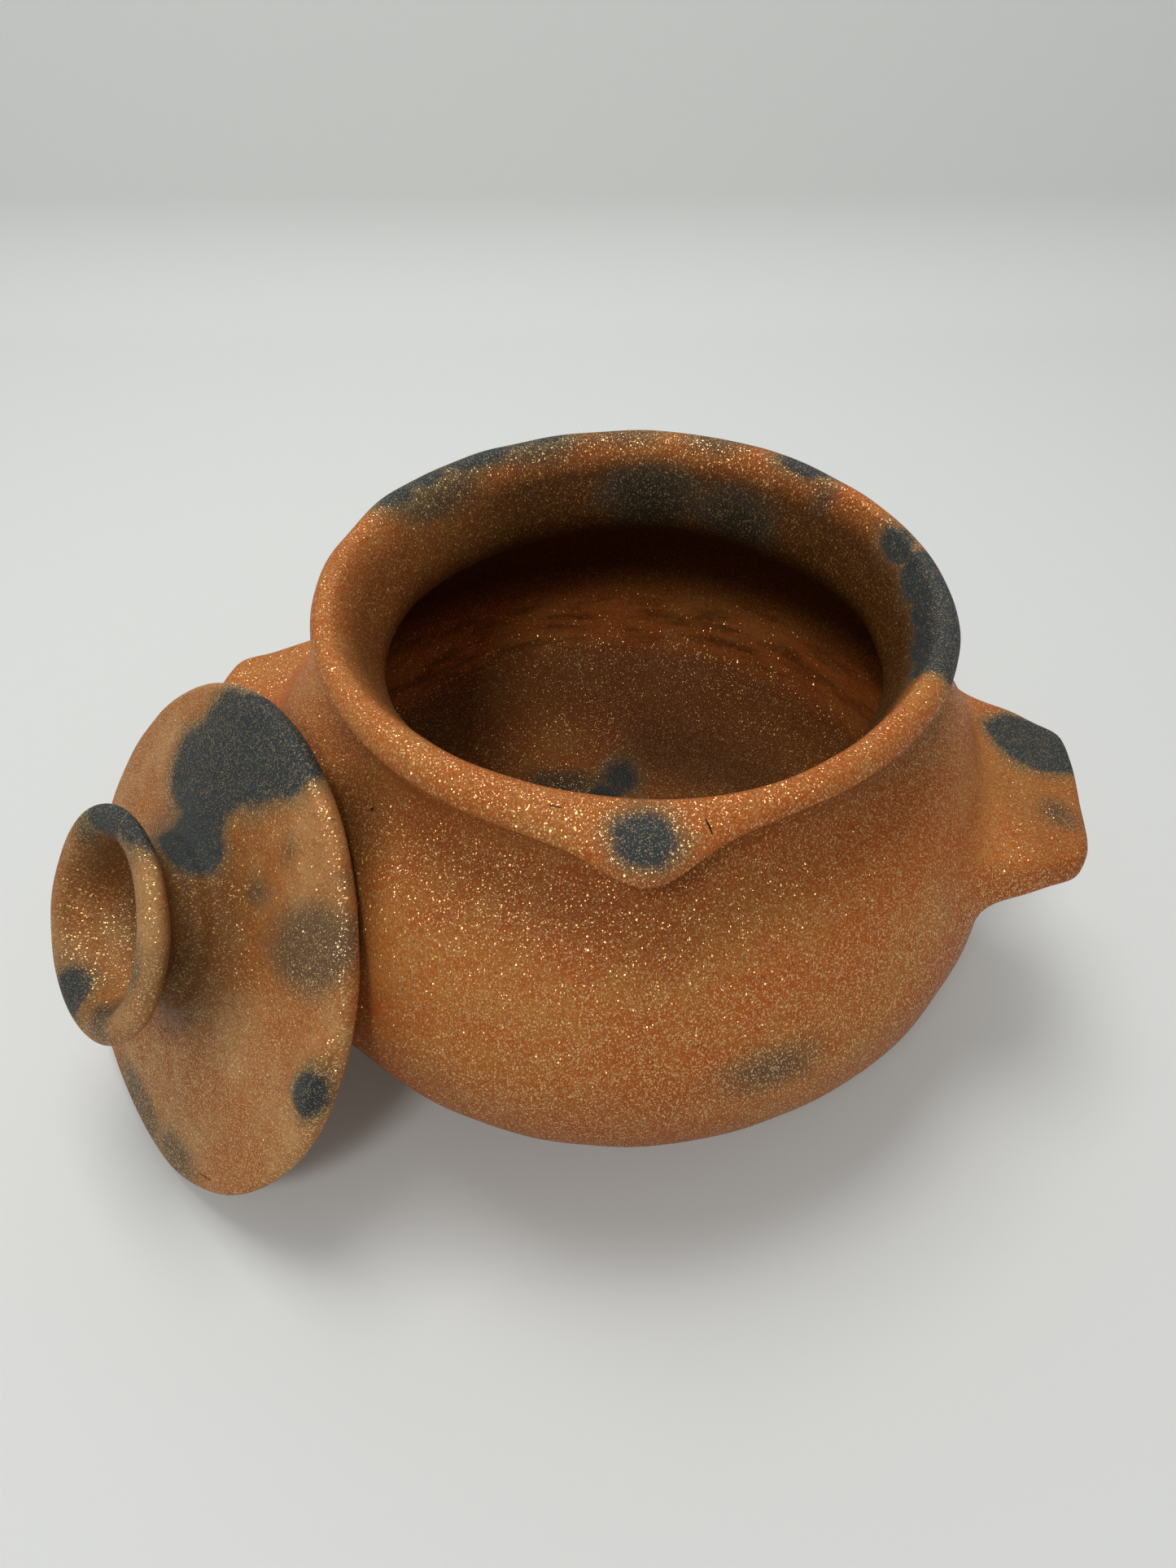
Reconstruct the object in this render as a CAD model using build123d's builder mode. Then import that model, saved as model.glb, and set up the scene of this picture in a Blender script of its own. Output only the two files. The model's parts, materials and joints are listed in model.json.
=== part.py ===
from build123d import *
import os
from math import atan2, cos, degrees, radians, sin, sqrt

os.makedirs("parts", exist_ok=True)

# A hand-built earthenware bean pot with its loose lid leaning on it.
# Millimetres, +Z up. The origin is the middle of the foot, on the table.
# The pouring lip points along -Y, and the lugs lie near +X and -X.

# ---- driving dimensions: pot, from the foot up ----
foot_radius = 38.0
low_flank_radius = 65.0
low_flank_height = 11.3
mid_flank_radius = 89.0
mid_flank_height = 29.0
belly_radius = 100.0
belly_height = 58.0
high_flank_radius = 94.3
high_flank_height = 78.0
shoulder_radius = 80.5
shoulder_height = 98.0
neck_radius = 67.5
neck_height = 112.0
rim_radius = 75.0
rim_height = 126.0
rim_roll = 3.5
wall = 6.0
floor_radius = 23.0
floor_thickness = 7.0
throat_radius = 61.5
throat_height = 111.0

# ---- driving dimensions: pouring lip ----
spout_bearing = -90.0
spout_half_angle = 36.0
spout_reach = 8.8
spout_droop = 4.8
spout_half_thickness = 4.3
spout_root_half_thickness = 3.1
spout_point_half_angle = 10.2
spout_steps = 5

# ---- driving dimensions: lugs ----
lug_height = 74.0
lug_reach = 116.5
lug_thickness = 8.0
lug_upper_root = 11.0
lug_lower_root = 9.0
lug_bend_radius = 103.0
lug_root_radius = 89.0
lug_root_half = 38.0
lug_corner = 11.0
lug_spread = 3.5
lug_edge_rounding = 3.2
right_lug_bearing = -9.0
right_lug_tip = 49.0
left_lug_bearing = 172.4
left_lug_tip = 43.0

# ---- driving dimensions: lid ----
lid_radius = 63.2
lid_edge = 4.4
lid_dome = 8.5
lid_flank = 6.9
lid_hollow = 3.5
lid_bearing = 202.8
lid_distance = 115.2
lid_face_bearing = 215.2
lid_face_rise = 31.3
knob_offset = 7.0
knob_foot = 34.0
knob_foot_height = 6.1
knob_waist = 19.0
knob_waist_height = 18.0
knob_radius = 28.2
knob_height = 31.0
knob_lip_roll = 3.9
knob_cup_radius = 15.0
knob_cup_height = 16.5
knob_cup_floor = 12.5
tab_bearing = 83.5
tab_length = 17.0
tab_width = 11.0
tab_overhang = 0.8
tab_rise = 5.2
tab_edge_rounding = 2.2


def radial_plane(bearing, height):
    """A plane through the pot's axis: local x points outward, local y up."""
    turn = radians(bearing)
    return Plane(
        origin=(0, 0, height), x_dir=(cos(turn), sin(turn), 0), z_dir=(sin(turn), -cos(turn), 0)
    )


def on_roll(angle):
    """A point on the round section of the rim, at an angle from straight out."""
    turn = radians(angle)
    return (
        rim_radius - rim_roll + rim_roll * cos(turn),
        rim_height + rim_roll * sin(turn),
    )


def inward(radius, height, lean):
    """A point one wall thickness inside a point of the outside, where the surface leans so."""
    turn = radians(lean)
    return (radius - wall * cos(turn), height - wall * sin(turn))


# ---- pot form: the outside of the pot, solid right through ----
roll_out = -50
roll_in = 150
with BuildPart() as pot_form:
    with BuildSketch(Plane.YZ) as outside:
        with BuildLine():
            Line((0, 0), (foot_radius, 0))
            Spline(
                (foot_radius, 0),
                (low_flank_radius, low_flank_height),
                (mid_flank_radius, mid_flank_height),
                (belly_radius, belly_height),
                tangents=[(1, 0.12), (0, 1)],
            )
            Spline(
                (belly_radius, belly_height),
                (high_flank_radius, high_flank_height),
                (shoulder_radius, shoulder_height),
                (neck_radius, neck_height),
                tangents=[(0, 1), (0, 1)],
            )
            Spline(
                (neck_radius, neck_height),
                on_roll(roll_out),
                tangents=[(0, 1), (-sin(radians(roll_out)), cos(radians(roll_out)))],
            )
            ThreePointArc(on_roll(roll_out), on_roll((roll_out + 90) / 2), on_roll(90))
            Polyline(on_roll(90), (0, rim_height + rim_roll), (0, 0))
        make_face()
    revolve(axis=Axis.Z)

# ---- pot body: the form with its belly, neck and mouth hollowed out ----
with BuildPart() as pot_body:
    add(pot_form.part)
    with BuildSketch(Plane.YZ) as inside:
        with BuildLine():
            Line((0, floor_thickness), (floor_radius, floor_thickness))
            Spline(
                (floor_radius, floor_thickness),
                inward(low_flank_radius, low_flank_height, -62),
                inward(mid_flank_radius, mid_flank_height, -33),
                inward(belly_radius, belly_height, 0),
                tangents=[(1, 0.05), (0, 1)],
            )
            Spline(
                inward(belly_radius, belly_height, 0),
                inward(high_flank_radius, high_flank_height, 25),
                inward(shoulder_radius, shoulder_height, 42),
                (throat_radius, throat_height),
                tangents=[(0, 1), (0, 1)],
            )
            Spline(
                (throat_radius, throat_height),
                on_roll(roll_in),
                tangents=[(0, 1), (sin(radians(roll_in)), -cos(radians(roll_in)))],
            )
            ThreePointArc(on_roll(roll_in), on_roll((roll_in + 90) / 2), on_roll(90))
            Polyline(
                on_roll(90),
                (rim_radius - rim_roll, rim_height + 2 * rim_roll),
                (0, rim_height + 2 * rim_roll),
                (0, floor_thickness),
            )
        make_face()
    revolve(axis=Axis.Z, mode=Mode.SUBTRACT)
pot_body.part.label = "pot_body"
export_step(pot_body.part, "parts/pot_body.step")

# ---- pouring lip: a drooping beak of clay luted to the front of the rim ----
# Each section is an ellipse that starts at the middle of the rim's roll and
# points outward and down, longest in the middle of the beak. The beak narrows
# quickly to its point and runs out slowly along the rim.
spout_ends = 1 / (1 + (spout_half_angle / spout_point_half_angle) ** 2)
spout_tilt = degrees(atan2(spout_droop, spout_reach))
spout_start = rim_radius - rim_roll
with BuildPart() as pouring_lip:
    for step in range(-spout_steps, spout_steps + 1):
        turn_from_point = spout_half_angle * step / spout_steps
        peak = 1 / (1 + (turn_from_point / spout_point_half_angle) ** 2)
        swell = (peak - spout_ends) / (1 - spout_ends)
        out = spout_reach * swell
        down = spout_droop * swell
        growth = (spout_half_thickness - spout_root_half_thickness) * swell
        half_thickness = spout_root_half_thickness + growth
        half_length = sqrt(out * out + down * down) / 2 + half_thickness
        with BuildSketch(radial_plane(spout_bearing + turn_from_point, rim_height)):
            with Locations((spout_start + out / 2, -down / 2)):
                Ellipse(half_length, half_thickness, rotation=-spout_tilt)
    loft()
    add(pot_form.part, mode=Mode.SUBTRACT)
pouring_lip.part.label = "pouring_lip"
export_step(pouring_lip.part, "parts/pouring_lip.step")


# ---- lug handles: flat slabs of clay luted to the shoulder ----
def make_lug(bearing, tip_length):
    """A flat lug with rounded corners, thicker and wider where it meets the pot."""
    turn = radians(bearing)
    plan = Plane(
        origin=(0, 0, lug_height), x_dir=(cos(turn), sin(turn), 0), z_dir=(0, 0, 1)
    )
    tip_half = tip_length / 2
    bend_half = tip_half + lug_spread
    buried = lug_root_radius - lug_corner
    bend_half_thickness = 0.58 * lug_thickness
    tip_half_thickness = 0.5 * lug_thickness
    with BuildPart() as lug:
        with BuildSketch(plan) as outline:
            with BuildLine():
                Polyline(
                    (buried, -lug_root_half),
                    (lug_root_radius, -lug_root_half),
                    (lug_bend_radius, -bend_half),
                    (lug_reach, -tip_half),
                    (lug_reach, tip_half),
                    (lug_bend_radius, bend_half),
                    (lug_root_radius, lug_root_half),
                    (buried, lug_root_half),
                    close=True,
                )
            make_face()
            fillet(outline.vertices().group_by(Axis.X)[-1], radius=lug_corner)
            fillet(outline.vertices().group_by(Axis.X)[2], radius=lug_corner)
        extrude(amount=2 * lug_upper_root, both=True)
        with BuildSketch(radial_plane(bearing, lug_height)):
            with BuildLine():
                upper = Spline(
                    (buried, 1.4 * lug_upper_root),
                    (lug_root_radius, lug_upper_root),
                    (lug_bend_radius, bend_half_thickness),
                    (lug_reach + 1, tip_half_thickness),
                )
                lower = Spline(
                    (buried, -1.4 * lug_lower_root),
                    (lug_root_radius, -lug_lower_root),
                    (lug_bend_radius, -bend_half_thickness),
                    (lug_reach + 1, -tip_half_thickness),
                )
                Line(upper @ 1, lower @ 1)
                Line(upper @ 0, lower @ 0)
            make_face()
        extrude(amount=2 * lug_root_half, both=True, mode=Mode.INTERSECT)
        rims = lug.edges().filter_by(
            lambda edge: abs(edge.center().Z - lug_height) > lug_thickness / 3
            and edge.center().dot(plan.x_dir) > lug_root_radius
        )
        fillet(rims, radius=lug_edge_rounding)
        add(pot_form.part, mode=Mode.SUBTRACT)
    return lug


right_lug = make_lug(right_lug_bearing, right_lug_tip)
right_lug.part.label = "right_lug"
export_step(right_lug.part, "parts/right_lug.step")

left_lug = make_lug(left_lug_bearing, left_lug_tip)
left_lug.part.label = "left_lug"
export_step(left_lug.part, "parts/left_lug.step")

# ---- lid: it stands on its edge and leans on the pot, knob outward ----
face_turn = radians(lid_face_bearing)
face_rise = radians(lid_face_rise)
half_edge = lid_edge / 2
lid_axis = Vector(
    cos(face_rise) * cos(face_turn), cos(face_rise) * sin(face_turn), sin(face_rise)
)
lid_up = Vector(
    -sin(face_rise) * cos(face_turn), -sin(face_rise) * sin(face_turn), cos(face_rise)
)
lid_centre = Vector(
    lid_distance * cos(radians(lid_bearing)),
    lid_distance * sin(radians(lid_bearing)),
    (lid_radius - half_edge) * cos(face_rise) + half_edge,
)
knob_centre = lid_centre + lid_up * knob_offset
lid_side = Plane(origin=lid_centre, x_dir=lid_up, z_dir=lid_up.cross(lid_axis))
knob_side = Plane(origin=knob_centre, x_dir=lid_up, z_dir=lid_up.cross(lid_axis))

# ---- lid cover: a shallow dome with a rounded edge, hollow underneath ----
edge_start = lid_radius - half_edge
with BuildPart() as lid_cover:
    with BuildSketch(lid_side):
        with BuildLine():
            Line((0, lid_hollow - half_edge), (0, lid_dome))
            Spline(
                (0, lid_dome),
                (edge_start / 2, lid_flank),
                (edge_start, half_edge),
                tangents=[(1, 0), (1, -0.12)],
            )
            ThreePointArc((edge_start, half_edge), (lid_radius, 0), (edge_start, -half_edge))
            Spline(
                (edge_start, -half_edge),
                (edge_start / 2, lid_hollow * 0.7 - half_edge),
                (0, lid_hollow - half_edge),
                tangents=[(-1, 0), (-1, 0)],
            )
        make_face()
    revolve(axis=Axis(lid_centre, lid_axis))
lid_cover.part.label = "lid_cover"
export_step(lid_cover.part, "parts/lid_cover.step")

# ---- lid knob: a hollow trumpet luted to the dome, a little off its middle ----
with BuildPart() as lid_knob:
    with BuildSketch(knob_side):
        with BuildLine():
            lip_middle = knob_radius - knob_lip_roll
            lip_inside = lip_middle - knob_lip_roll
            lip_start = knob_height - knob_lip_roll
            Line((0, half_edge), (0, knob_cup_floor))
            Spline(
                (0, knob_cup_floor),
                (knob_cup_radius, knob_cup_height),
                (lip_inside, lip_start),
                tangents=[(1, 0), (0.2, 1)],
            )
            ThreePointArc((lip_inside, lip_start), (lip_middle, knob_height), (knob_radius, lip_start))
            Spline(
                (knob_radius, lip_start),
                (knob_waist, knob_waist_height),
                (knob_foot, knob_foot_height),
                tangents=[(-0.3, -1), (1, -0.12)],
            )
            Polyline((knob_foot, knob_foot_height), (knob_foot, half_edge), (0, half_edge))
        make_face()
    revolve(axis=Axis(knob_centre, lid_axis))
    add(lid_cover.part, mode=Mode.SUBTRACT)
lid_knob.part.label = "lid_knob"
export_step(lid_knob.part, "parts/lid_knob.step")

# ---- lid tab: a thumb of clay on the edge that lines up with the pouring lip ----
tab_turn = radians(tab_bearing)
tab_out = lid_up * cos(tab_turn) + lid_up.cross(lid_axis) * sin(tab_turn)
tab_plane = Plane(origin=lid_centre, x_dir=tab_out, z_dir=lid_axis)
with BuildPart() as lid_tab:
    with BuildSketch(tab_plane):
        with Locations((lid_radius + tab_overhang - tab_width / 2, 0)):
            RectangleRounded(tab_width, tab_length, tab_width / 2 - 0.2)
    extrude(amount=tab_rise)
    tab_top = lid_tab.faces().sort_by(Axis(lid_centre, lid_axis))[-1]
    fillet(tab_top.edges(), radius=tab_edge_rounding)
    add(lid_cover.part, mode=Mode.SUBTRACT)
lid_tab.part.label = "lid_tab"
export_step(lid_tab.part, "parts/lid_tab.step")
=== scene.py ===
import json
from math import atan2, cos, degrees, hypot, pi, radians, sin

import bmesh
import bpy
from mathutils import Euler, Matrix, Vector


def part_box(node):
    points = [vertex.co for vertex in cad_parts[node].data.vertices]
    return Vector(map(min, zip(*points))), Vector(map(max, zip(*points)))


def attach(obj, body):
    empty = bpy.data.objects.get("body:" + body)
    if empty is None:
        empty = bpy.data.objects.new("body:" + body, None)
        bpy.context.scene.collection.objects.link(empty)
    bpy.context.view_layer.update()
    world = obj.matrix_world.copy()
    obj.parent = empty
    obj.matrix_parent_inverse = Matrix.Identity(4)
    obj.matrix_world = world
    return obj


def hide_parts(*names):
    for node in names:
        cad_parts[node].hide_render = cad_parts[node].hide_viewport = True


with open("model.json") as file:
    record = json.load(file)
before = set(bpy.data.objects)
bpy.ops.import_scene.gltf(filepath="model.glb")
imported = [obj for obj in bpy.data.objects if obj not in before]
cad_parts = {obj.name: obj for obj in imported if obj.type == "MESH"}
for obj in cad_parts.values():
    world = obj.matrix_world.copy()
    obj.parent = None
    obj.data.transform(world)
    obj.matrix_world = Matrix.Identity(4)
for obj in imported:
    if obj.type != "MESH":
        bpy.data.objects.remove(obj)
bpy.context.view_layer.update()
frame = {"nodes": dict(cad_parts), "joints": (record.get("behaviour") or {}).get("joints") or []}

# ---- camera: held close above the front of the pot, looking down into it ----
# The focal length is in pixels of a render 1927 high, and the sensor's long side spans that height.
render_height = 1927
focal_pixels = 1400
sensor_long_side = 36
camera_place = (-0.0116, -0.2218, 0.2842)
camera_tilt = Euler((radians(45.08), 0, radians(-0.29))).to_matrix()
camera_roll = Matrix.Rotation(radians(-0.24), 3, "Z")
bpy.ops.object.camera_add(location=camera_place, rotation=(camera_tilt @ camera_roll).to_euler())
camera = bpy.context.object
camera.data.lens = sensor_long_side * focal_pixels / render_height
camera.data.clip_start = 0.01
bpy.context.scene.camera = camera
bpy.context.scene.view_settings.view_transform = "Standard"

# ---- stage: a sheet of pale paper that lies flat and sweeps up behind the pot ----
# The paper is one strip. It is extruded from its front edge back and then round a quarter turn.
sheet_half_width = 0.9
sheet_front = -0.9
sweep_start = 0.43
sweep_radius = 0.06
sheet_top = 0.9
sweep_steps = 12


def deselect_all():
    """Nothing is left selected, so that an operator acts on the new piece alone."""
    if bpy.context.object and bpy.context.object.mode != "OBJECT":
        bpy.ops.object.mode_set(mode="OBJECT")
    bpy.ops.object.select_all(action="DESELECT")


deselect_all()
bpy.ops.mesh.primitive_plane_add(size=2 * sheet_half_width, location=(0, 0, 0))
paper = bpy.context.object
paper.name = "paper_sweep"
bpy.ops.transform.resize(value=(1, (sweep_start - sheet_front) / (2 * sheet_half_width), 1))
bpy.ops.transform.translate(value=(0, (sweep_start + sheet_front) / 2, 0))
bpy.ops.object.transform_apply(location=True, rotation=True, scale=True)


def select_where(piece, test, kind="VERT"):
    """Selects the piece's vertices, edges or faces whose middle passes the test."""
    bpy.context.view_layer.objects.active = piece
    if piece.mode != "EDIT":
        bpy.ops.object.mode_set(mode="EDIT")
    bpy.ops.mesh.select_mode(type=kind)
    bpy.ops.mesh.select_all(action="DESELECT")
    mesh = bmesh.from_edit_mesh(piece.data)
    if kind == "VERT":
        for vertex in mesh.verts:
            vertex.select_set(test(vertex.co))
    elif kind == "EDGE":
        for edge in mesh.edges:
            edge.select_set(test((edge.verts[0].co + edge.verts[1].co) / 2))
    else:
        for face in mesh.faces:
            face.select_set(test(face.calc_center_median()))
    mesh.select_flush_mode()
    bmesh.update_edit_mesh(piece.data)


select_where(paper, lambda middle: middle.y > sweep_start - 0.001, "EDGE")
for step in range(1, sweep_steps + 1):
    before = pi / 2 * (step - 1) / sweep_steps
    after = pi / 2 * step / sweep_steps
    back = sweep_radius * (sin(after) - sin(before))
    up = sweep_radius * (cos(before) - cos(after))
    bpy.ops.mesh.extrude_region_move(TRANSFORM_OT_translate={"value": (0, back, up)})
bpy.ops.mesh.extrude_region_move(TRANSFORM_OT_translate={"value": (0, 0, sheet_top - sweep_radius)})
bpy.ops.mesh.select_all(action="SELECT")
bpy.ops.mesh.normals_make_consistent(inside=False)
bpy.ops.object.mode_set(mode="OBJECT")
bpy.ops.object.shade_smooth()

paper_finish = bpy.data.materials.new("pale_paper")
paper_finish.use_nodes = True
paper_shader = paper_finish.node_tree.nodes["Principled BSDF"]
paper_shader.inputs["Base Color"].default_value = (0.72, 0.73, 0.71, 1)
paper_shader.inputs["Roughness"].default_value = 0.9
paper_shader.inputs["Specular IOR Level"].default_value = 0.1
paper.data.materials.append(paper_finish)

# ---- lamps: a soft panel overhead, a smaller one high in front, and an even glow from the room ----
# The overhead panel hangs a little behind the pot and to its left, so its soft shadow falls to the
# front and the right. The front panel hangs to the left, and the mica on the belly glints in it.


def soft_panel(name, place, size, energy):
    """A square panel that faces the pot."""
    facing = (-Vector(place)).to_track_quat("-Z", "Y").to_euler()
    bpy.ops.object.light_add(type="AREA", location=place, rotation=facing)
    panel = bpy.context.object
    panel.name = name
    panel.data.shape = "SQUARE"
    panel.data.size = size
    panel.data.energy = energy


soft_panel("top_panel", (-0.14, 0.15, 1.1), 0.5, 5.5)
soft_panel("front_panel", (-0.3, -0.85, 1.15), 0.25, 4.8)

room = bpy.data.worlds.new("even_room")
bpy.context.scene.world = room
room.use_nodes = True
room.node_tree.nodes["Background"].inputs["Color"].default_value = (0.97, 0.99, 1.0, 1)
room.node_tree.nodes["Background"].inputs["Strength"].default_value = 0.36

# ---- pot: one wall of coiled clay, from the flat foot up to the rolled rim and down inside ----
# The lugs and the pouring lip are luted on wet and smoothed over, so the pot is one skin. It is
# drawn up ring by ring as a coil pot is, and each ring takes its radius from the solid wall.
MM = 0.001
pot_sides = 36
foot_rings = ((24 * MM, 0), (36 * MM, 0))
outside_heights = [h * MM for h in (4, 14, 28, 43, 58, 66, 74, 82, 90, 98, 106, 113, 119.5)]
inside_heights = [h * MM for h in (122, 113, 104, 94, 82, 70, 59, 48, 38, 29, 20, 12)]
neck_fullness = 1.6 * MM
neck_fullness_from, neck_fullness_to = 96 * MM, 122 * MM
belly_slimness = 0.9 * MM
slim_up_to = 80 * MM
inside_ridge = 0.7 * MM
inside_ridge_spacing = 30 * MM
rim_roll = 3.5 * MM
rim_roll_middle = (71.5 * MM, 126 * MM)
rim_roll_angles = (-42, 8, 58, 108, 156)
floor_rings = ((24 * MM, 7 * MM), (9 * MM, 7 * MM))
belly_lean = Vector((-2.5 * MM, 1.8 * MM))
belly_top = 118 * MM
mouth_offset = Vector((1.7 * MM, -0.9 * MM))
mouth_radius = 69 * MM
mouth_from, mouth_to = 98 * MM, 131 * MM
solid_wall = frame["nodes"]["pot_body"]
clear_of_the_pot = 200 * MM


def wall_radius(height, inside):
    """The radius of the solid wall at a height, at the back of the pot, where nothing is luted on."""
    start = Vector((0, 0 if inside else clear_of_the_pot, height))
    _, place, _, _ = solid_wall.ray_cast(start, Vector((0, 1 if inside else -1, 0)))
    return place.y


def through(points, rounds=30):
    """Cage points whose smoothed curve passes through the given points, both ends kept."""
    cage = [Vector(point) for point in points]
    for _ in range(rounds):
        for i in range(1, len(points) - 1):
            cage[i] = (6 * Vector(points[i]) - cage[i - 1] - cage[i + 1]) / 4
    return cage


def draw_up(name, rings, sides, shift):
    """A closed skin of revolution, drawn up ring by ring. shift gives each ring's sideways offset."""
    widen = 3 / (2 + cos(2 * pi / sides))
    deselect_all()
    radius, height = rings[0]
    offset = shift(radius, height)
    middle = Vector((offset[0], offset[1], height))
    bpy.ops.mesh.primitive_circle_add(
        vertices=sides, radius=radius * widen, fill_type="TRIFAN", location=middle
    )
    bpy.ops.object.transform_apply(location=True, rotation=True, scale=True)
    piece = bpy.context.object
    piece.name = name
    select_where(piece, lambda place: (place - middle).length > radius / 2)
    for next_radius, next_height in rings[1:]:
        next_offset = shift(next_radius, next_height)
        step = (next_offset[0] - offset[0], next_offset[1] - offset[1], next_height - height)
        bpy.ops.mesh.extrude_region_move(TRANSFORM_OT_translate={"value": step})
        ratio = next_radius / radius
        bpy.ops.transform.resize(
            value=(ratio, ratio, 1), center_override=(next_offset[0], next_offset[1], next_height)
        )
        radius, height, offset = next_radius, next_height, next_offset
    bpy.ops.mesh.extrude_region_move(TRANSFORM_OT_translate={"value": (0, 0, 0)})
    bpy.ops.mesh.merge(type="CENTER")
    bpy.ops.mesh.select_all(action="SELECT")
    bpy.ops.mesh.normals_make_consistent(inside=False)
    return piece


def on_rim_roll(angle):
    """A point on the rim's round section, at an angle from straight out."""
    radius, height = rim_roll_middle
    return (radius + rim_roll * cos(radians(angle)), height + rim_roll * sin(radians(angle)))


def pot_shift(radius, height):
    """The belly sags a little to one side and the mouth is cut a little to the other."""
    in_belly = sin(pi * min(1, height / belly_top)) ** 2
    in_mouth = max(0, sin(pi * (height - mouth_from) / (mouth_to - mouth_from)))
    share = in_mouth if radius < mouth_radius else 0
    return belly_lean * in_belly + mouth_offset * share


def outside_radius(height):
    """The outside of the skin: the solid wall, a little fuller at the neck and slimmer low down."""
    up_the_neck = (height - neck_fullness_from) / (neck_fullness_to - neck_fullness_from)
    fuller = neck_fullness * sin(pi * min(1, max(0, up_the_neck)))
    slimmer = belly_slimness * sin(pi * min(1, height / slim_up_to))
    return wall_radius(height, False) + fuller - slimmer


def inside_radius(height):
    """The inside of the skin: the solid wall with the soft ridges that the coils leave."""
    return wall_radius(height, True) + inside_ridge * sin(2 * pi * height / inside_ridge_spacing)


pot_section = through(
    [*foot_rings]
    + [(outside_radius(height), height) for height in outside_heights]
    + [on_rim_roll(angle) for angle in rim_roll_angles]
    + [(inside_radius(height), height) for height in inside_heights]
    + [*floor_rings]
)
pot = draw_up("pot", pot_section, pot_sides, pot_shift)

# ---- pouring lip: a wedge of clay at the front of the rim, pulled out and down to a blunt beak ----
# The pull is strongest at the point and fades fast to both sides, as where a finger drew the clay.
beak_pull = Vector((10.2 * MM, -5.9 * MM))
beak_point_half_angle = 9.7
beak_columns = 4
beak_shares = {108: 0.1, 58: 0.72, 8: 1.0, -42: 0.92}
beak_neck_share = 0.4
column_angle = 360 / pot_sides
within_reach = 1.4 * MM


def bearing(place):
    """The direction of a place from the pot's axis, in degrees from +X towards +Y."""
    return degrees(atan2(place.y, place.x))


beak_rings = [(on_rim_roll(angle), share) for angle, share in beak_shares.items()]
beak_rings.append(((outside_radius(outside_heights[-1]), outside_heights[-1]), beak_neck_share))
beak_angles = [column * column_angle for column in range(-beak_columns, beak_columns + 1)]
beak_curve = [(angle, 1 / (1 + (angle / beak_point_half_angle) ** 2)) for angle in beak_angles]
beak_swells = through(beak_curve)
for angle, swell in zip(beak_angles, beak_swells):
    direction = radians(-90 + angle)
    for (radius, height), share in beak_rings:
        spot = Vector((radius * cos(direction), radius * sin(direction), height))
        select_where(pot, lambda place: (place - spot).length < within_reach)
        out = beak_pull.x * swell.y * share
        down = beak_pull.y * swell.y * share
        bpy.ops.transform.translate(value=(out * cos(direction), out * sin(direction), down))

# ---- lugs: two flat slabs of clay on the shoulder, one each side, to lift the pot by ----
# A patch of the belly is drawn out in three steps. Each step flattens it, narrows it and thins it.
lug_low, lug_high = 65 * MM, 83 * MM
lug_middle = 74 * MM
lug_half_angle = 20
lug_root_radius = 92 * MM
lug_bow = 2.0
lug_turns = {-10: 1.0, 170: 1.5}
lug_steps = {
    -10: ((103, 32, 7.2), (110, 28, 5.4), (117.5, 25.5, 4.8)),
    170: ((103, 31, 7.2), (110, 26.5, 5.4), (117.5, 23.5, 4.8)),
}


def near_bearing(place, middle_bearing, half_angle):
    """True where a place lies within an angle to either side of a bearing."""
    apart = (bearing(place) - middle_bearing + 180) % 360 - 180
    return abs(apart) < half_angle


for lug_bearing, steps in lug_steps.items():

    def on_lug(middle):
        outside = hypot(middle.x, middle.y) > lug_root_radius
        beside = near_bearing(middle, lug_bearing, lug_half_angle)
        return outside and beside and lug_low < middle.z < lug_high

    select_where(pot, on_lug, "FACE")
    for reach, half_length, half_thickness in steps:
        bpy.ops.mesh.extrude_region_move(TRANSFORM_OT_translate={"value": (0, 0, 0)})
        mesh = bmesh.from_edit_mesh(pot.data)
        turn = Matrix.Rotation(-radians(lug_bearing) - radians(lug_turns[lug_bearing]), 3, "Z")
        chosen = [vertex for vertex in mesh.verts if vertex.select]
        widest = max(abs((turn @ vertex.co).y) for vertex in chosen)
        tallest = max(abs(vertex.co.z - lug_middle) for vertex in chosen)
        for vertex in chosen:
            local = turn @ vertex.co
            across = local.y / widest
            local.x = (reach - lug_bow * across * across) * MM
            local.y = across * half_length * MM
            local.z = lug_middle + (local.z - lug_middle) / tallest * half_thickness * MM
            vertex.co = turn.inverted() @ local
        bmesh.update_edit_mesh(pot.data)

# ---- the finished pot: smoothed, then given the unevenness of a hand-built wall ----
# It is scraped smooth and fired in the open without a glaze, so it has the colours of the fire:
# orange clay full of mica, blue-black and grey clouds, and brown smoke inside. Painted shade is
# added inside, under the rim, towards the foot and by the lid. The foot is flat.
pot_unevenness = ((55 * MM, 2.0 * MM), (16 * MM, 0.7 * MM))
foot_rubbed_below = 0.7 * MM
bpy.ops.object.mode_set(mode="OBJECT")


def finish_skin(piece, unevenness):
    """Smooths the cage and adds soft noise along the normals: pairs of size and height."""
    smooth = piece.modifiers.new("smooth", "SUBSURF")
    smooth.levels = smooth.render_levels = 3
    bpy.ops.object.modifier_apply(modifier=smooth.name)
    for size, height in unevenness:
        clouds = bpy.data.textures.new("hand", "CLOUDS")
        clouds.noise_scale = size
        clouds.noise_depth = 0
        dent = piece.modifiers.new("dent", "DISPLACE")
        dent.texture = clouds
        dent.texture_coords = "LOCAL"
        dent.strength = height
        dent.mid_level = 0.5
        bpy.ops.object.modifier_apply(modifier=dent.name)
    bpy.ops.object.shade_smooth()


finish_skin(pot, pot_unevenness)
select_where(pot, lambda place: place.z < foot_rubbed_below)
bpy.ops.transform.resize(value=(1, 1, 0), center_override=(0, 0, 0))
bpy.ops.object.mode_set(mode="OBJECT")
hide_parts("pot_body", "pouring_lip", "right_lug", "left_lug")
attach(pot, "pot")


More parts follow.
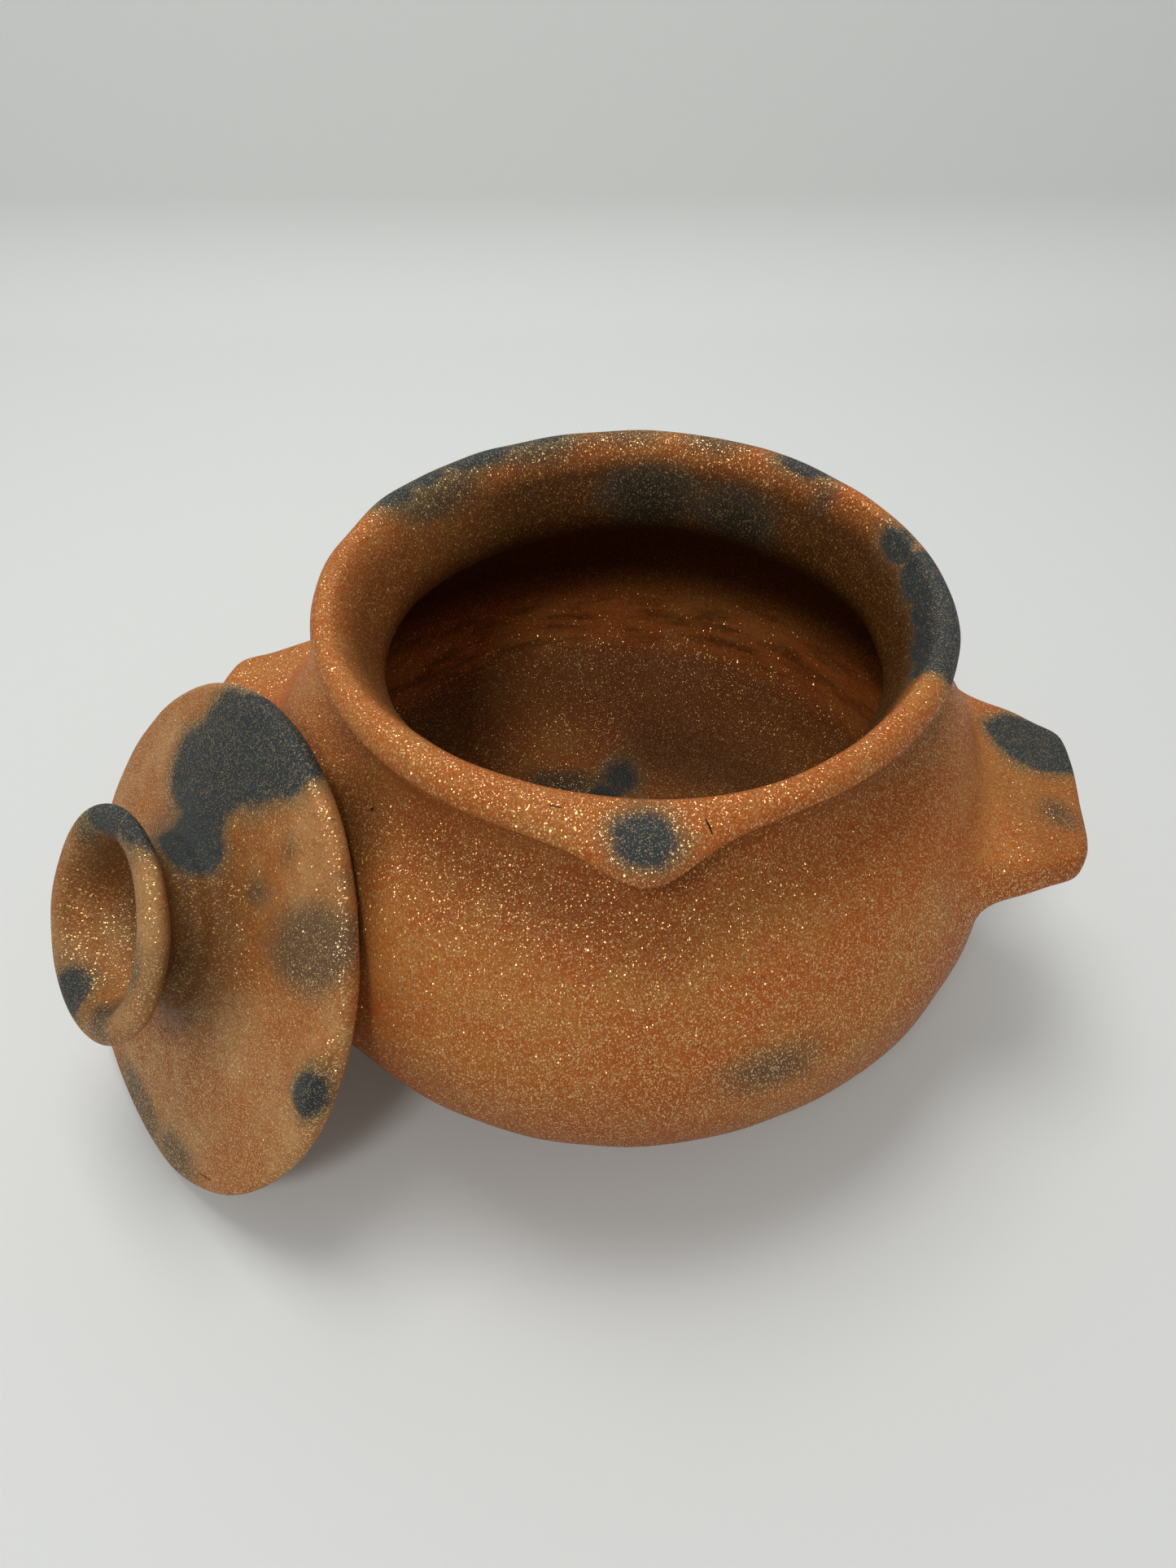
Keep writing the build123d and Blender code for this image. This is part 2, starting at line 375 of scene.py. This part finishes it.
class Shade:
    """One value in a material's node tree, so that sums of values are written as sums."""

    def __init__(self, tree, output=None):
        self.tree = tree
        self.output = output

    def node(self, kind, settings=None, sockets=None, output=0):
        """Adds a node, with its settings and what each of its sockets holds or takes."""
        made = self.tree.nodes.new("ShaderNode" + kind)
        for name, value in (settings or {}).items():
            setattr(made, name, value)
        for name, value in (sockets or {}).items():
            self.feed(made.inputs[name], value)
        return Shade(self.tree, made.outputs[output])

    def feed(self, socket, value):
        """Links a value to a socket, or sets a constant on it."""
        if isinstance(value, Shade):
            self.tree.links.new(value.output, socket)
        else:
            socket.default_value = value

    def math(self, operation, *values):
        return self.node("Math", {"operation": operation}, dict(enumerate(values)))

    def vector(self, operation, *values, output=0):
        return self.node("VectorMath", {"operation": operation}, dict(enumerate(values)), output)

    def scaled(self, factor):
        return self.node("VectorMath", {"operation": "SCALE"}, {"Vector": self, "Scale": factor})

    def blend(self, share, other):
        """This colour, and the other one where the share is 1."""
        sockets = {"Factor": share, 6: self, 7: other}
        return self.node("Mix", {"data_type": "RGBA", "clamp_factor": True}, sockets, 2)

    def ramp(self, low, high):
        """0 up to the low value, 1 from the high value on, and a smooth step in between."""
        sockets = {"Value": self, "From Min": low, "From Max": high}
        return self.node("MapRange", {"interpolation_type": "SMOOTHSTEP"}, sockets)

    def __add__(self, other):
        return self.math("ADD", self, other)

    def __sub__(self, other):
        return self.math("SUBTRACT", self, other)

    def __rsub__(self, other):
        return self.math("SUBTRACT", other, self)

    def __mul__(self, other):
        return self.math("MULTIPLY", self, other)

    __radd__ = __add__
    __rmul__ = __mul__


def noise(place, size, detail=2.0, seed=0.0):
    """Soft noise from 0 to 1, whose lumps are about the given size in millimetres."""
    sockets = {"Vector": place, "W": seed, "Scale": 1 / size, "Detail": detail}
    return place.node("TexNoise", {"noise_dimensions": "4D"}, sockets)


def cloud_depth(place, clouds):
    """How deep a place is in the nearest of the clouds, in millimetres, and below 0 outside them."""
    depth = None
    for middle, radii, turn in clouds:
        spin = (0, 0, radians(turn))
        sockets = {"Vector": place, "Location": middle, "Rotation": spin, "Scale": radii}
        local = place.node("Mapping", {"vector_type": "TEXTURE"}, sockets)
        inside = (1 - local.vector("LENGTH", local, output=1)) * (sum(radii) / 3)
        depth = inside if depth is None else depth.math("MAXIMUM", depth, inside)
    return depth


pale_grain = (0.57, 0.24, 0.065, 1)
dark_grain = (0.18, 0.040, 0.007, 1)
# brown for the smoke stain and for painted shade
smoke_and_shade_brown = (0.040, 0.012, 0.001, 1)
cloud_grey = (0.058, 0.054, 0.036, 1)
# grey clouds within the smoke stain and the painted shade
sooty_and_shaded_grey = (0.014, 0.011, 0.006, 1)
cloud_halo = (0.11, 0.085, 0.040, 1)
cloud_black = (0.026, 0.036, 0.039, 1)
mica_gold = (0.98, 0.67, 0.31, 1)
# gold of the mica flakes within the smoke stain and the painted shade
mica_in_smoke_and_shade = (0.60, 0.32, 0.06, 1)
crack_brown = (0.03, 0.012, 0.005, 1)
mica_sizes = ((0.36, 0.36, 0.8), (0.6, 0.26, 1.0), (1.0, 0.16, 1.1))
bump_height = 0.15 * MM


def fired_clay(name, placing, hues, black_clouds, grey_clouds, smoke_and_shade, cracks):
    """Micaceous clay from an open firing. Clouds and cracks are in the placing's millimetres."""
    finish = bpy.data.materials.new(name)
    finish.use_nodes = True
    shader = finish.node_tree.nodes["Principled BSDF"]
    tree = Shade(finish.node_tree)
    sockets = {
        "Vector": tree.node("TexCoord", output=3),
        "Location": placing.translation,
        "Rotation": placing.to_euler(),
        "Scale": (MM, MM, MM),
    }
    place = tree.node("Mapping", {"vector_type": "TEXTURE"}, sockets)

    # the clay itself: rust orange, ochre where the fire was hotter, with a fine pale grain
    hue = noise(place, 34, 3) * 0.65 + noise(place, 6, 3, 4) * 0.35
    colour = tree.node("RGB")
    colour.output.default_value = hues[0]
    colour = colour.blend(hue.ramp(0.42, 0.66), hues[1])
    grain = noise(place, 0.55, 3, 7)
    colour = colour.blend(grain.ramp(0.50, 0.72) * 0.6, pale_grain)
    colour = colour.blend(grain.ramp(0.46, 0.30) * 0.5, dark_grain)

    # smoke stain and painted shade, brown and soft-edged
    stain_and_shade = smoke_and_shade(place)
    colour = colour.blend(stain_and_shade, smoke_and_shade_brown)

    # fire clouds: blue-black where smoke settled, with an olive halo, and fainter grey ones
    warp = (noise(place, 10, 2, 11) - 0.5) * 6 + (noise(place, 1.6, 2, 13) - 0.5) * 2
    grey = (cloud_depth(place, grey_clouds) + warp).ramp(-3.5, 5.5)
    depth = cloud_depth(place, black_clouds) + warp
    colour = colour.blend(grey * 0.75, cloud_grey)
    # grey clouds go darker still within the smoke stain and the painted shade
    colour = colour.blend(grey * stain_and_shade, sooty_and_shaded_grey)
    colour = colour.blend(depth.ramp(-4.5, 0.8) * (0.75 - stain_and_shade * 0.5), cloud_halo)
    black = depth.ramp(-0.8, 2.2)
    colour = colour.blend(black * 0.97, cloud_black)

    # mica: flakes of three sizes, each one tilted its own way, fewer of them seen in smoke, soot and
    # painted shade
    normal = tree.node("NewGeometry", output=1)
    flakes = None
    for size, share, lean in mica_sizes:
        sockets = {"Vector": place, "Location": (size, 0, 0), "Scale": (1, 1, 0.6)}
        stretched = place.node("Mapping", None, sockets)
        sockets = {"Vector": stretched, "Scale": 1 / size}
        near = place.node("TexVoronoi", None, sockets)
        chance = place.node("TexVoronoi", None, sockets, 1)
        red = chance.node("SeparateColor", None, {"Color": chance})
        flake = near.math("LESS_THAN", near, red * share + 0.09)
        spread = chance.scaled(9)
        tilt = spread.vector("SUBTRACT", spread.vector("FRACTION", spread), (0.5, 0.5, 0.5))
        normal = normal.vector("ADD", normal, tilt.scaled(flake * lean))
        flakes = flake if flakes is None else flakes.math("MAXIMUM", flakes, flake)
    normal = normal.vector("NORMALIZE", normal)
    shine = flakes * (1 - black * 0.66) * (1 - stain_and_shade * stain_and_shade * 0.7)
    colour = colour.blend(shine * stain_and_shade * 0.5, mica_in_smoke_and_shade)
    colour = colour.blend(shine * (0.64 - stain_and_shade * 0.58), mica_gold)

    # fine cracks and pits
    colour = colour.blend(cloud_depth(place, cracks).ramp(-0.12, 0.06), crack_brown)

    tree.feed(shader.inputs["Base Color"], colour)
    tree.feed(shader.inputs["Metallic"], shine * 0.75)
    tree.feed(shader.inputs["Roughness"], 0.6 - shine * 0.33)
    shader.inputs["Specular IOR Level"].default_value = 0.12
    height = noise(place, 0.7, 2, 17) + noise(place, 4.5, 2, 19) * 2.5
    sockets = {"Height": height, "Normal": normal, "Distance": bump_height, "Strength": 0.9}
    tree.feed(shader.inputs["Normal"], tree.node("Bump", None, sockets))
    return finish


pot_black = [
    ((0.4, -77.8, 126), (6.3, 6.6, 6.2), 0),
    ((67, 19, 126.5), (4, 7.5, 5), 15),
    ((71, 5, 127), (8, 10, 7.5), 0),
    ((71, -7, 127), (8, 12, 7.5), 0),
    ((69, -19, 127), (9, 11, 8), -14),
    ((65, -29, 127.5), (8, 6.5, 7), -26),
    ((107, -2.5, 80), (13, 11, 9), -30),
    ((113, -4, 78), (8, 9, 8), -10),
    ((48, 53, 131), (10, 5, 5), -40),
    ((-40, 58, 132.8), (14, 8, 6), 34),
    ((-52, 49, 133.2), (11, 8, 6), 47),
    ((-60, 40, 133), (9, 7, 6), 57),
    ((-25, 68, 133.5), (12, 7, 6), 18),
    ((1, 56, 10), (8, 10, 6), 0),
    ((-5, 48, 8), (10, 7, 5.2), 20),
]
pot_grey = [
    ((-52, 47, 129), (20, 11, 9), 47),
    ((-26, 65, 131), (18, 9, 7), 20),
    ((8, 66.5, 113), (22, 9, 11), -5),
    ((34, 57, 112), (15, 9, 9), -32),
    ((-2, 71, 133), (20, 8, 6), 0),
    ((25, 67, 133), (16, 8, 6), -18),
    ((51.7, 43.6, 126), (3, 3, 3), 0),
    ((106, -27.5, 79), (5, 5, 5), 0),
    ((29.1, -97.0, 75), (38, 7.5, 18), 19),
    ((-20, 50, 13), (14, 6, 6), 0),
]
pot_cracks = [
    ((12.0, -75.4, 127.0), (0.2, 1.7, 3), 25),
    ((-17.1, -71.9, 128.4), (1.4, 0.15, 3), -14),
    ((-58.4, -46.9, 102.3), (0.5, 0.5, 0.6), 0),
    ((-56.4, -48.9, 103.3), (0.35, 0.35, 0.5), 0),
]


def pot_smoke_and_shade(place):
    """Brown smoke stain and painted shade: the inside most; outside, painted shade under the rim,
    towards the foot and where the lid leans, and a little brown on a lug.
    """
    radial = place.vector("NORMALIZE", place.vector("MULTIPLY", place, (1, 1, 0)))
    outward = place.node("NewGeometry", output=1)
    facing_in = radial.vector("DOT_PRODUCT", radial, outward, output=1).ramp(0, -0.5)
    across = place.node("SeparateXYZ", None, {"Vector": place}, 0)
    height = place.node("SeparateXYZ", None, {"Vector": place}, 2)
    streaks = noise(place.vector("MULTIPLY", place, (0.2, 0.2, 1)), 3.5, 3, 23)
    # the floor is made lighter to the left and darker to the right
    pale_floor = height.ramp(29, 18) * (across.ramp(10, -30) * 0.42 - across.ramp(-6, 14) * 0.25)
    # a band low on the inside wall is made lighter in streaks: painted light where light falls in
    # through the mouth
    lit_band = height.ramp(35, 43) * height.ramp(64, 50)
    # inside: smoke brown, with painted shade added under the shoulder above the belly's widest; less
    # brown on the left of the neck
    smoked_and_shaded = height.ramp(54, 74) * 0.38 + 0.58 - across.ramp(-25, -60) * height.ramp(88, 106) * 0.3
    inside = (smoked_and_shaded - pale_floor - lit_band * streaks.ramp(0.34, 0.56) * 0.6) * height.ramp(130, 120)
    # outside: painted shade under the rim and the pouring lip, and painted shade low down towards the
    # floor
    outside = height.ramp(84, 108) * height.ramp(122, 115) * 0.35 + height.ramp(88, 20) * 0.42
    # painted shade where the lid leans on the pot
    shade_by_the_lid = cloud_depth(place, [((-74, -52, 88), (30, 24, 30), 35)]).ramp(-7, 14) * 0.9
    # the top of the right lug is browned a little
    on_lug = cloud_depth(place, [((110, -19, 78), (22, 34, 14), -10)]).ramp(-3, 8) * 0.25
    outside = outside.math("MAXIMUM", outside.math("MAXIMUM", outside, shade_by_the_lid), on_lug)
    # the rim's top is browned a little, inside and out
    return facing_in * inside + (1 - facing_in) * outside + height.ramp(119, 128) * 0.1


pot_hues = ((0.40, 0.092, 0.013, 1), (0.42, 0.145, 0.026, 1))
pot_clay = fired_clay("pot_clay", Matrix(), pot_hues, pot_black, pot_grey, pot_smoke_and_shade, pot_cracks)
pot.data.materials.append(pot_clay)

# ---- lid: a shallow domed disc with a rounded edge and a hollow trumpet knob ----
# It is drawn up lying flat, with the knob a little to one side, and then leaned on the pot. Each
# pair is a ring's radius and height in millimetres: the underside, the edge, the dome, the knob.
lid_low, lid_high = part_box("lid_cover")
lid_centre = (lid_low + lid_high) / 2
lid_axis = Vector(frame["joints"][0]["axis"]).normalized()
lid_up = (Vector((0, 0, 1)) - lid_axis * lid_axis.z).normalized()
lid_frame = Matrix((lid_up, lid_axis.cross(lid_up), lid_axis)).transposed().to_4x4()
lid_frame.translation = lid_centre
lid_sides = 36
knob_offset = 7 * MM
knob_foot_from, knob_foot_height = 3.4 * MM, 3.4 * MM
lid_unevenness = ((45 * MM, 1.2 * MM), (14 * MM, 0.5 * MM))
lid_section = [
    (15, 1.2), (34, 0.2), (50, -1.4), (58, -2.4), (61.6, -2.4), (62.9, -1.0), (63.1, 0.9),
    (62.0, 2.5), (58.5, 3.3), (51, 4.5), (43, 5.5), (36, 6.1), (30, 7.2), (25.5, 8.8),
    (22.3, 11.0), (21.2, 13.2), (20.9, 15.6), (19.3, 18.2), (19.4, 20.8), (22.2, 23.4),
    (26.3, 25.4), (28.2, 27.8), (27.2, 30.2), (24.5, 31), (21.8, 30.3), (19.8, 28.0),
    (18.3, 25), (16.5, 20.5), (13, 16), (8, 13.5), (3.5, 12.8),
]


def lid_shift(radius, height):
    """The knob stands off the middle of the disc, and its foot runs over from the dome."""
    share = min(1, max(0, (height - knob_foot_from) / knob_foot_height))
    return (knob_offset * share * share * (3 - 2 * share), 0)


lid = draw_up("lid", through([(r * MM, z * MM) for r, z in lid_section]), lid_sides, lid_shift)

# ---- lid tab: a thumb of clay on the lid's edge that lines up with the pouring lip ----
# It rises to a ridge, ends in a step on the lower side and runs out to nothing on the upper side.
# Its rises are in millimetres, by their bearing on the lid, one for each of four rings.
tab_bearing = -81
tab_half_angle = 10
tab_inner, tab_outer = 50 * MM, 62.6 * MM
tab_above = 0.5 * MM
tab_rises = {-90: (0.6, 3.0, 3.4, 2.2), -80: (0.8, 4.0, 4.6, 2.6), -70: (0.0, 0.3, 0.4, 0.2)}
tab_rings = (51 * MM, 58.5 * MM, 62.0 * MM, 63.1 * MM)


def on_tab(middle):
    in_ring = tab_inner < hypot(middle.x, middle.y) < tab_outer
    return near_bearing(middle, tab_bearing, tab_half_angle) and in_ring and middle.z > tab_above


select_where(lid, on_tab, "FACE")
bpy.ops.mesh.extrude_region_move(TRANSFORM_OT_translate={"value": (0, 0, 0)})
mesh = bmesh.from_edit_mesh(lid.data)
for vertex in [vertex for vertex in mesh.verts if vertex.select]:
    column = min(tab_rises, key=lambda angle: abs(angle - bearing(vertex.co)))
    reach = hypot(vertex.co.x, vertex.co.y)
    ring = min(range(len(tab_rings)), key=lambda i: abs(tab_rings[i] - reach))
    vertex.co.z += tab_rises[column][ring] * MM
bmesh.update_edit_mesh(lid.data)
bpy.ops.object.mode_set(mode="OBJECT")
finish_skin(lid, lid_unevenness)
lid.matrix_world = lid_frame
bpy.ops.object.transform_apply(location=True, rotation=True, scale=True)
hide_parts("lid_cover", "lid_knob", "lid_tab")
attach(lid, "lid")

lid_black = [
    ((62, -6, 2), (13, 13, 9), 0),
    ((55, 3, 2), (17, 17, 9), 0),
    ((46, 12, 2), (17, 17, 9), 0),
    ((35, 21, 3), (14, 13.5, 9), 0),
    ((30, 8, 8), (10, 11, 10), 0),
    ((29, 3, 13), (6.5, 12, 9), 0),
    ((30, 11, 29), (6, 11, 7), 25),
    ((34, 0, 26), (5, 8, 7), 0),
    ((-16, 2, 29), (6, 8, 7), 0),
    ((6.5, -60.5, 5), (8, 4.5, 5), 0),
]
lid_grey = [
    ((33, -42, 3.5), (17, 11, 9), -42),
    ((31.1, -20.2, 6.3), (3, 3, 3), 0),
    ((45.1, -23.3, 4.3), (2.5, 2.5, 2.5), 0),
    ((49.2, -39.7, 0), (2.5, 2.5, 2.5), 0),
    ((-56, -2, 2), (8, 18, 7), 0),
    ((-52, -24, 2), (7, 12, 7), 25),
    ((24, 20, 31), (8, 8, 6), 0),
    ((-8, -14, 30), (9, 7, 6), 40),
    ((11, -22, 27), (9, 5, 8), -10),
]
lid_cracks = [((-45.0, -37.8, 2.4), (3.2, 0.2, 2), -60)]


def lid_smoke_and_shade(place):
    """Smoke stain and painted shade brown the lid round the knob's neck, and painted shade browns the
    upper side of the knob's cup.
    """
    # the knob's neck and the dome round it: smoke brown, with painted shade under the knob's lip
    neck = cloud_depth(place, [((7, 0, 16), (37, 37, 20.5), 0)]).ramp(-6, 13)
    # in the knob's cup only the upper side stays brown: painted shade
    cup = cloud_depth(place, [((7, 0, 27), (21, 21, 15), 0)]).ramp(0, 2)
    up = place.node("SeparateXYZ", None, {"Vector": place}, 0)
    return neck * (0.72 - cup * (0.55 - up.ramp(-4, 10) * 0.5))


lid_hues = ((0.34, 0.110, 0.024, 1), (0.42, 0.215, 0.080, 1))
lid_clay = fired_clay("lid_clay", lid_frame, lid_hues, lid_black, lid_grey, lid_smoke_and_shade, lid_cracks)
lid.data.materials.append(lid_clay)
